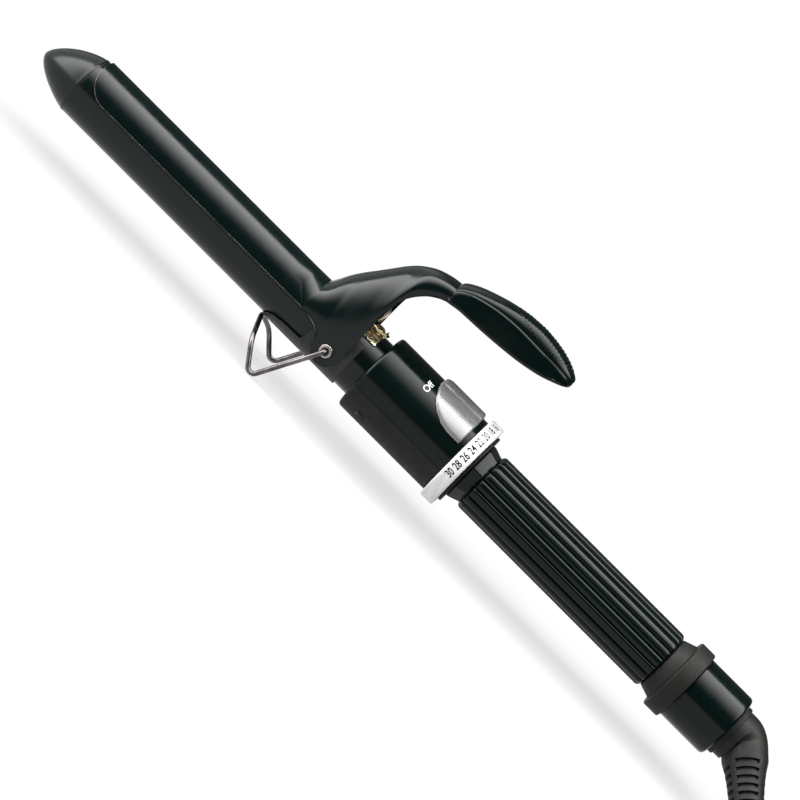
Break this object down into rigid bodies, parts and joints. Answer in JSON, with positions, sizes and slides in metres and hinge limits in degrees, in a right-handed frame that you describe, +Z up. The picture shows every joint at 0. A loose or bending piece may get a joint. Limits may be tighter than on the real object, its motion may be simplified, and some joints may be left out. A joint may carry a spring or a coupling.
{
  "type": "curling iron",
  "caption": "Spring-clamp hair curling iron with a round barrel, wire stand, temperature dial, power slide, fluted grip and swivel mains cord.",
  "frame": {"origin": "on the table, under the middle of the tool from nose tip to swivel end, the free cord and its elbow left out", "axes": "+X along the barrel from nose to cord, +Z up towards the clamp lever, +Y across the tool"},
  "size_m": [0.594, 0.0748, 0.0893],
  "materials": {
    "gloss_black": "high gloss black enamel",
    "gloss_plastic": "polished black moulding",
    "matte_plastic": "fine matte dark grey-brown",
    "rubber": "matte soft rubber",
    "steel_wire": "polished steel wire",
    "steel_strap": "satin black strap",
    "rivet": "polished nickel",
    "brass": "nickel-brass, bright",
    "silver": "satin silver",
    "dial_white": "pale silver-white, semi-gloss",
    "aluminium": "extruded, satin",
    "ceramic": "fired white ceramic",
    "board": "green laminate",
    "component": "moulded black",
    "lead": "braided glass sleeve",
    "nylon": "natural nylon",
    "copper": "bright copper alloy",
    "cord": "smooth satin cable jacket",
    "tie": "twist tie ribbon"
  },
  "bodies": {
    "root": {"tip_cap": "matte_plastic", "barrel_tube": "gloss_black", "heater_shoe_upper": "aluminium", "heater_shoe_lower": "aluminium", "heater_element": "ceramic", "heater_spacers": "ceramic", "heater_leads": "lead", "temperature_sensor": "ceramic", "thermal_fuse": "rivet", "stand_saddle": "steel_strap", "pivot_eyelets": "rivet", "clamp_spring": "brass", "spring_plate": "brass", "spring_screw": "brass", "barrel_bush": "nylon", "housing_cover": "gloss_plastic", "housing_shell": "matte_plastic", "housing_screws": "rivet", "control_board": "board", "board_parts": "component", "slide_switch": "component", "dial_track": "board", "handle_core": "matte_plastic", "dial_flange": "gloss_plastic", "faceted_collar": "gloss_plastic", "grip_sleeve": "gloss_plastic", "rear_cone": "matte_plastic", "rear_ring": "rubber", "swivel_bearing": "nylon", "brush_contacts": "copper", "cord_tube": "cord", "cord_hank": "cord", "hank_tie": "tie", "plug_body": "rubber", "plug_blades": "rivet"},
    "clamp_lever": {"clamp": "gloss_black", "thumb_rest": "gloss_plastic", "thumb_pad": "rubber"},
    "stand": {"stand_wire": "steel_wire"},
    "slide": {"power_slide": "silver"},
    "dial": {"dial_ring": "dial_white", "dial_wiper": "copper"},
    "swivel": {"swivel_hub": "nylon", "slip_drum": "nylon", "slip_rings": "copper", "swivel_shell": "gloss_plastic", "swivel_end_cap": "gloss_plastic", "cord_elbow": "rubber"}
  },
  "joints": [
    {"name": "clamp_hinge", "type": "hinge", "parent": "root", "child": "clamp_lever", "pos_m": [-0.0256, 0, 0.0269], "axis": [0, 1, 0], "range_deg": [0, 22], "stiffness_Nm_per_rad": 0.3, "springref_deg": -20.05, "deforming": ["clamp_spring"]},
    {"name": "stand_hinge", "type": "hinge", "parent": "root", "child": "stand", "pos_m": [-0.0256, 0, 0.0269], "axis": [0, -1, 0], "range_deg": [0, 95]},
    {"name": "slide_travel", "type": "slide", "parent": "root", "child": "slide", "axis": [-1, 0, 0], "range_m": [0, 0.005]},
    {"name": "dial_turn", "type": "hinge", "parent": "root", "child": "dial", "pos_m": [0.0389, 0, 0.0299], "axis": [1, 0, 0], "range_deg": [-60, 110]},
    {"name": "cord_swivel", "type": "hinge", "parent": "root", "child": "swivel", "pos_m": [0.1674, 0, 0.0299], "axis": [1, 0, 0], "continuous": true}
  ]
}
